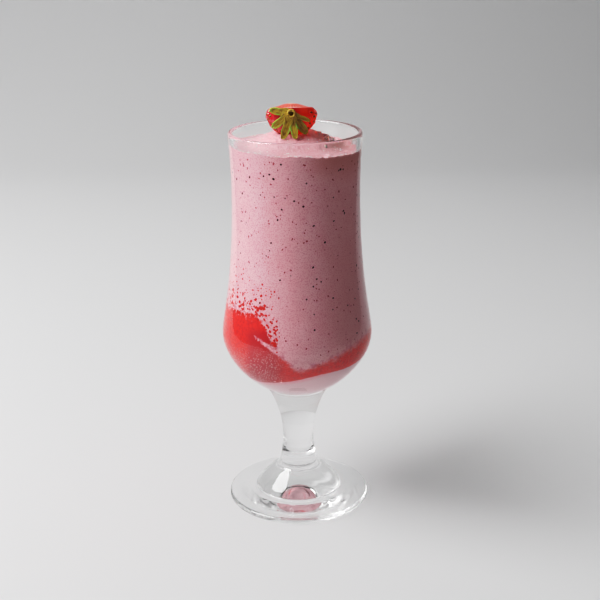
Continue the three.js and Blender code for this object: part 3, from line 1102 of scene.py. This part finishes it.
class SMOOTHIE_OT_berry(bpy.types.Operator):
    """Halves a strawberry, with dimples in its skin and seeds in the dimples."""

    bl_idname = "smoothie.berry"
    bl_label = "Half strawberry"

    dimple_depth = 0.85 * MM
    dimple_radius = 1.15 * MM
    swell = 0.3 * MM
    swell_size = 6 * MM
    seed_sink = 0.5 * MM
    cut_rings = 16

    def execute(self, context):
        berry = context.scene.smoothie_berry
        spots = seed_spots(berry)
        bm = bmesh.new()
        outline = []
        for step in range(BERRY_STEPS + 1):
            radius, along = berry_form(berry, 180 * step / BERRY_STEPS)
            outline.append(Vector((radius, along, 0)))
        spin_outline(bm, outline, AXIS_Y, BERRY_SEGMENTS)
        bmesh.ops.translate(bm, verts=bm.verts, vec=(berry.sideways, 0, berry.axis_height))
        for vert in bm.verts:
            vert.co = round_shoulder(berry, vert.co)
        self.dimple(bm, berry, spots)
        self.cut(bm, berry)
        set_piece(bm, "half_berry", [skin_finish(berry), flesh_finish(berry)], ["strawberry"])

        seeds = bmesh.new()
        draw = random.Random(3)
        for spot in spots:
            side = spot.outwards.cross(spot.along)
            turn = Matrix((side, spot.along, spot.outwards)).transposed().to_4x4()
            half = 0.5 * berry.seed_length * draw.uniform(0.85, 1.1)
            at = spot.at - self.seed_sink * spot.outwards
            scatter_bead(seeds, at, (0.6 * half, half, 0.45 * half), turn, 2)
        finish = plain_finish("berry_seed", berry.achene, 0.35, 1.3 * MM, 0.02 * MM, spread=0.8)
        set_piece(seeds, "berry_seeds", [finish])
        return {"FINISHED"}

    def dimple(self, bm, berry, spots):
        """Presses the skin in round each seed and lets it swell between them."""
        tree = KDTree(len(spots))
        for index, spot in enumerate(spots):
            tree.insert(spot.at, index)
        tree.balance()
        ripe = bm.verts.layers.float.new("ripe")
        reach = berry.shoulder + berry.tip
        start = berry.widest - berry.shoulder
        bm.normal_update()
        for vert in bm.verts:
            vert[ripe] = (vert.co.y - start) / reach
            away = tree.find(vert.co)[2]
            press = self.dimple_depth * math.exp(-((away / self.dimple_radius) ** 2))
            swell = self.swell * noise.noise(vert.co / self.swell_size)
            vert.co += vert.normal * (swell - press)

    def cut(self, bm, berry):
        """Cuts the berry in half and gives the cut face rings for its flesh."""
        normal = Vector((0, math.sin(berry.cut_lean), math.cos(berry.cut_lean)))
        centre = cut_centre(berry)
        bmesh.ops.bisect_plane(
            bm,
            geom=bm.verts[:] + bm.edges[:] + bm.faces[:],
            dist=TOUCH,
            plane_co=centre,
            plane_no=normal,
            clear_outer=True,
        )
        border = [edge for edge in bm.edges if edge.is_boundary]
        face = bmesh.ops.contextual_create(bm, geom=border)["faces"][0]
        for edge in border:
            edge.smooth = False
        outwards = bm.verts.layers.float.new("outwards")
        spoke = bm.verts.layers.float.new("spoke")
        for vert in face.verts:
            vert[outwards] = 1.0
        share = 1.0
        for ring in range(self.cut_rings):
            bmesh.ops.inset_individual(bm, faces=[face], thickness=0.01 * MM)
            smaller = 1 - (ring + 1) / (self.cut_rings + 1)
            about = Matrix.Translation(-centre)
            bmesh.ops.scale(bm, vec=(smaller / share,) * 3, space=about, verts=face.verts)
            share = smaller
            for vert in face.verts:
                vert[outwards] = share
        for cut_face in bm.faces:
            if abs(normal.dot(cut_face.calc_center_median() - centre)) < 0.001 * MM:
                cut_face.material_index = 1
                for vert in cut_face.verts:
                    away = vert.co - centre
                    vert[spoke] = math.atan2(away.x, away.y)
        for vert in {vert for cut_face in bm.faces if cut_face.material_index for vert in cut_face.verts}:
            vert.co += normal * berry.core_rise * (1 - vert[outwards] ** 2) ** 2
        bmesh.ops.recalc_face_normals(bm, faces=bm.faces)


class SMOOTHIE_OT_leaf_cap(bpy.types.Operator):
    """Lays six sepals over the berry's shoulder, round the stub of its stalk."""

    bl_idname = "smoothie.leaf_cap"
    bl_label = "Leaf cap"

    turns = (172, 217, 251, 279, 306, 336)
    reaches = (46, 50, 49, 47, 58, 42)
    halves = (1.7, 1.8, 1.9, 1.7, 1.8, 0.8)
    curls = (1.2, 1.2, 4.2, 3.8, 1.4, 1.0)

    # Half width along a sepal, as shares of its length and of its width.
    outline = ((0, 1.1), (0.2, 1.5), (0.42, 0.95), (0.7, 1.05), (0.86, 0.85), (0.95, 0.5), (1, 0.1))
    base_angle = 6
    sheet = 0.4 * MM
    foam_gap = 0.5 * MM

    # Radius of the stub and step along the stalk from the berry's end, in millimetres.
    stub_outline = (
        (0, 0.6), (1.9, 0.6), (1.95, -0.9), (2.1, -1.35), (2.05, -1.75), (1.75, -1.95),
        (1.3, -1.9), (1.05, -1.65), (0.95, -1.0), (0.9, 0.2), (0, 0.25),
    )

    def execute(self, context):
        berry = context.scene.smoothie_berry
        layers = Layers(context.scene.smoothie_drink, berry)
        bm = bmesh.new()
        bm.verts.layers.float.new("edge")
        bm.verts.layers.float.new("along")
        for turn, reach, half, curl in zip(self.turns, self.reaches, self.halves, self.curls):
            self.sepal(bm, layers, turn, reach, half, curl)
        cap = set_piece(bm, "sepals", [leaf_finish(berry)], ["leaf_cap"])
        smooth = cap.modifiers.new("smooth", "SUBSURF")
        smooth.levels = 1
        smooth.render_levels = 1

        stub = bmesh.new()
        end = berry.widest - berry.shoulder
        points = [Vector((radius * MM, end + step * MM, 0)) for radius, step in self.stub_outline]
        spin_outline(stub, points, AXIS_Y, STUB_SEGMENTS)
        bmesh.ops.translate(stub, verts=stub.verts, vec=(berry.sideways, 0, berry.axis_height))
        finish = plain_finish("stalk_stub", berry.stalk, 0.55, 0.8 * MM, 0.06 * MM, spread=0.5)
        set_piece(stub, "stalk_stub", [finish])
        return {"FINISHED"}

    def sepal(self, bm, layers, turn, reach, widest, curl):
        """Adds one sepal: a grid laid over the shoulder, curled up off the foam and given a thickness."""
        berry = layers.berry
        edge = bm.verts.layers.float["edge"]
        along = bm.verts.layers.float["along"]
        made = bmesh.ops.create_grid(bm, x_segments=8, y_segments=16, size=1)
        verts = made["verts"]
        for vert in verts:
            side = vert.co.x
            share = (vert.co.y + 1) / 2
            half = widest * MM * float(numpy.interp(share, *zip(*self.outline)))
            lift = (0.45 + curl * share**3 + 0.5 * share * side * side) * MM
            lift += 0.5 * MM * share * (turn % 2)
            lift += 0.25 * MM * noise.noise(Vector((turn, share * 3, side)))
            angle = self.base_angle + (reach - self.base_angle) * share
            radius = berry_form(berry, angle, lift)[0]
            offset = math.degrees(half * side / max(radius, MM))
            vert[edge] = max(abs(side), smoothstep((share - 0.75) / 0.25))
            vert[along] = share
            vert.co = berry_place(berry, angle, turn + offset, lift)
            vert.co.z = max(vert.co.z, layers.foam(vert.co.x, vert.co.y) + self.foam_gap)
        faces = list({face for vert in verts for face in vert.link_faces})
        bmesh.ops.recalc_face_normals(bm, faces=faces)
        bmesh.ops.solidify(bm, geom=faces, thickness=self.sheet)


class SMOOTHIE_OT_stage(bpy.types.Operator):
    """Sets the pale floor, the soft lamp, the room's reflections and the camera."""

    bl_idname = "smoothie.stage"
    bl_label = "Studio"

    camera_at = (0.001493, -0.527335, 0.284038)
    camera_tilt = 18.914
    camera_roll = -0.531
    camera_lens = 69.02
    floor_gap = 0.05 * MM
    lamp_at = Vector((-0.857, -0.151, 0.966))
    lamp_aim = Vector((0, 0, 0.09))
    face_radius = 0.4
    face_strength = 13.0
    room_light_from = (0, 0.6, 0.8)
    room_turn = (0.1, 0.6)
    light_bounces = 24

    # The paper's half width, where it begins to sweep up, the radius of the sweep and its steps.
    paper_reach = 4.0
    sweep_start = 0.75
    sweep_radius = 0.8
    sweep_steps = 24

    # Two corners of each dark card, and the pale card's place, half size, tones and the height of its fade.
    dark_corners = (((-4, -4), (4, -0.3)), ((-4, -0.3), (-0.47, 1.2)), ((0.47, -0.3), (4, 1.2)))
    card_at = (0, 0.72, 1.5)
    card_half = 1.5
    card_tones = ((0.61, 0.61, 0.61), (0.54, 0.54, 0.54))
    card_fade = 0.45

    # Contrast of a usual studio picture: deeper shadows and soft highlights, as light in and light out.
    tones = ((0.1, 0.057), (0.2, 0.16), (0.39, 0.385), (0.55, 0.56), (0.9, 0.775))
    tone_end = (1.0, 0.83)

    def execute(self, context):
        scene = context.scene
        stage = scene.smoothie_stage
        self.floor(stage)
        self.flags()
        self.pale_card()
        self.light(scene, stage)
        self.camera(scene)
        self.contrast(scene.view_settings)
        scene.cycles.max_bounces = self.light_bounces
        scene.cycles.glossy_bounces = self.light_bounces
        scene.cycles.transmission_bounces = self.light_bounces
        return {"FINISHED"}

    def floor(self, stage):
        """One sheet that runs along the floor and sweeps up at the back."""
        bm = bmesh.new()
        reach = self.paper_reach
        start = self.sweep_start
        radius = self.sweep_radius
        sweep = [(-reach, 0.0), (start, 0.0)]
        for step in range(1, self.sweep_steps + 1):
            angle = math.pi / 2 * step / self.sweep_steps
            sweep.append((start + radius * math.sin(angle), radius - radius * math.cos(angle)))
        verts = [bm.verts.new((-reach, along, height - self.floor_gap)) for along, height in sweep]
        edges = [bm.edges.new(pair) for pair in zip(verts, verts[1:])]
        wide = bmesh.ops.extrude_edge_only(bm, edges=edges)["geom"]
        moved = [item for item in wide if isinstance(item, bmesh.types.BMVert)]
        bmesh.ops.translate(bm, verts=moved, vec=(2 * reach, 0, 0))
        bmesh.ops.recalc_face_normals(bm, faces=bm.faces)
        finish = Finish("pale_paper")
        grain = finish.noise(finish.place(), 0.4, 2)
        paper = tuple(0.985 * part for part in stage.floor)
        tone = finish.blend(grain, stage.floor, paper)
        skin = finish.add("BsdfPrincipled", {
            "Base Color": tone,
            "Roughness": 0.9,
            "Specular IOR Level": 0.1,
        })
        set_stage(bm, "floor", finish.wear(skin.outputs["BSDF"]))

    def flags(self):
        """Dark cards round the paper, which only show as reflections in the glass."""
        bm = bmesh.new()
        for low, high in self.dark_corners:
            size = (high[0] - low[0], high[1] - low[1])
            centre = Vector(((low[0] + high[0]) / 2, (low[1] + high[1]) / 2, MM))
            matrix = Matrix.Translation(centre) @ Matrix.Diagonal((size[0], size[1], 1, 1))
            bmesh.ops.create_grid(bm, x_segments=1, y_segments=1, size=0.5, matrix=matrix)
        finish = Finish("dark_card")
        grain = finish.noise(finish.place(), 0.1, 2)
        tone = finish.blend(grain, (0.1, 0.1, 0.1), (0.12, 0.12, 0.12))
        skin = finish.add("BsdfPrincipled", {"Base Color": tone, "Roughness": 1.0})
        hidden_from = ("camera", "diffuse", "transmission", "shadow")
        set_stage(bm, "dark_cards", finish.wear(skin.outputs["BSDF"]), hidden_from)

    def pale_card(self):
        """A pale wall above the sweep of the paper, which only shows in and through the glass."""
        bm = bmesh.new()
        matrix = Matrix.Translation(self.card_at) @ Matrix.Rotation(math.pi / 2, 4, "X")
        bmesh.ops.create_grid(bm, x_segments=1, y_segments=1, size=self.card_half, matrix=matrix)
        finish = Finish("pale_card")
        height = finish.part(finish.place(), "Z")
        tone = finish.blend(finish.ramp(height, 0, self.card_fade), *self.card_tones)
        glow = finish.add("Emission", {"Color": tone})
        hidden_from = ("camera", "diffuse", "shadow")
        set_stage(bm, "pale_card", finish.wear(glow.outputs["Emission"]), hidden_from)

    def light(self, scene, stage):
        """A round soft lamp high on the left, and a dim room."""
        lamp = bpy.data.lights.new("soft_lamp", "AREA")
        lamp.shape = "DISK"
        lamp.size = stage.lamp_size
        lamp.energy = stage.lamp_power
        lamp_object = bpy.data.objects.new("soft_lamp", lamp)
        lamp_object.location = self.lamp_at
        towards = self.lamp_aim - self.lamp_at
        lamp_object.rotation_euler = towards.to_track_quat("-Z", "Y").to_euler()
        lamp_object.visible_glossy = False
        scene.collection.objects.link(lamp_object)
        self.lamp_face(lamp_object)

        room = Finish("room", "worlds", "OutputWorld")
        direction = room.add("TexCoord").outputs["Generated"]
        back = room.add("VectorMath", {0: direction, 1: self.room_light_from}, operation="DOT_PRODUCT")
        start, end = self.room_turn
        turn = room.add("MapRange", {"Value": back.outputs["Value"], "From Min": start, "From Max": end})
        tone = room.blend(turn.outputs["Result"], stage.room, stage.back_room)
        scene.world = room.wear(room.add("Background", {"Color": tone}).outputs["Background"])

    def lamp_face(self, lamp_object):
        """The bright middle of the lamp, which only shows as highlights."""
        bm = bmesh.new()
        matrix = Matrix.LocRotScale(lamp_object.location, lamp_object.rotation_euler, None)
        bmesh.ops.create_circle(bm, cap_ends=True, segments=48, radius=self.face_radius, matrix=matrix)
        finish = Finish("lamp_face")
        glow = finish.add("Emission", {"Color": (1, 1, 1), "Strength": self.face_strength})
        hidden_from = ("camera", "diffuse", "transmission", "shadow")
        set_stage(bm, "lamp_face", finish.wear(glow.outputs["Emission"]), hidden_from)

    def contrast(self, view):
        """Gives the picture its contrast."""
        view.view_transform = "Standard"
        view.use_curve_mapping = True
        mapping = view.curve_mapping
        mapping.use_clip = False
        mapping.extend = "EXTRAPOLATED"
        curve = mapping.curves[3]
        curve.points[-1].location = self.tone_end
        for light_in, light_out in self.tones:
            curve.points.new(light_in, light_out)
        mapping.update()

    def camera(self, scene):
        """A camera at the height and angle of the photograph."""
        lens = bpy.data.cameras.new("camera")
        lens.lens = self.camera_lens
        lens.sensor_width = 36.0
        camera = bpy.data.objects.new("camera", lens)
        tilt = Matrix.Rotation(math.radians(90 - self.camera_tilt), 4, "X")
        roll = Matrix.Rotation(math.radians(self.camera_roll), 4, "Z")
        camera.matrix_world = Matrix.Translation(self.camera_at) @ tilt @ roll
        scene.collection.objects.link(camera)
        scene.camera = camera


class SMOOTHIE_PT_pieces(bpy.types.Panel):
    """Lists the pieces of the drink in the order in which they are made."""

    bl_idname = "SMOOTHIE_PT_pieces"
    bl_label = "Strawberry smoothie"
    bl_space_type = "VIEW_3D"
    bl_region_type = "UI"
    bl_category = "Smoothie"

    def draw(self, context):
        column = self.layout.column()
        for operator in OPERATORS:
            column.operator(operator.bl_idname)


OPERATORS = (
    SMOOTHIE_OT_glass,
    SMOOTHIE_OT_drink,
    SMOOTHIE_OT_specks,
    SMOOTHIE_OT_bubbles,
    SMOOTHIE_OT_berry,
    SMOOTHIE_OT_leaf_cap,
    SMOOTHIE_OT_stage,
)
SETTINGS = {
    "smoothie_glass": GlassSizes,
    "smoothie_drink": DrinkSizes,
    "smoothie_berry": BerrySizes,
    "smoothie_stage": StageSizes,
}


def register():
    """Registers the settings, the operators and the panel."""
    for name, group in SETTINGS.items():
        bpy.utils.register_class(group)
        setattr(bpy.types.Scene, name, PointerProperty(type=group))
    for operator in OPERATORS:
        bpy.utils.register_class(operator)
    bpy.utils.register_class(SMOOTHIE_PT_pieces)


def unregister():
    """Takes back what register has done."""
    bpy.utils.unregister_class(SMOOTHIE_PT_pieces)
    for operator in reversed(OPERATORS):
        bpy.utils.unregister_class(operator)
    for name, group in reversed(SETTINGS.items()):
        delattr(bpy.types.Scene, name)
        bpy.utils.unregister_class(group)


def main():
    """Makes every piece and the studio."""
    register()
    bpy.ops.smoothie.glass()
    bpy.ops.smoothie.drink()
    bpy.ops.smoothie.specks()
    bpy.ops.smoothie.bubbles()
    bpy.ops.smoothie.berry()
    bpy.ops.smoothie.leaf_cap()
    bpy.ops.smoothie.stage()


if __name__ == "__main__":
    main()
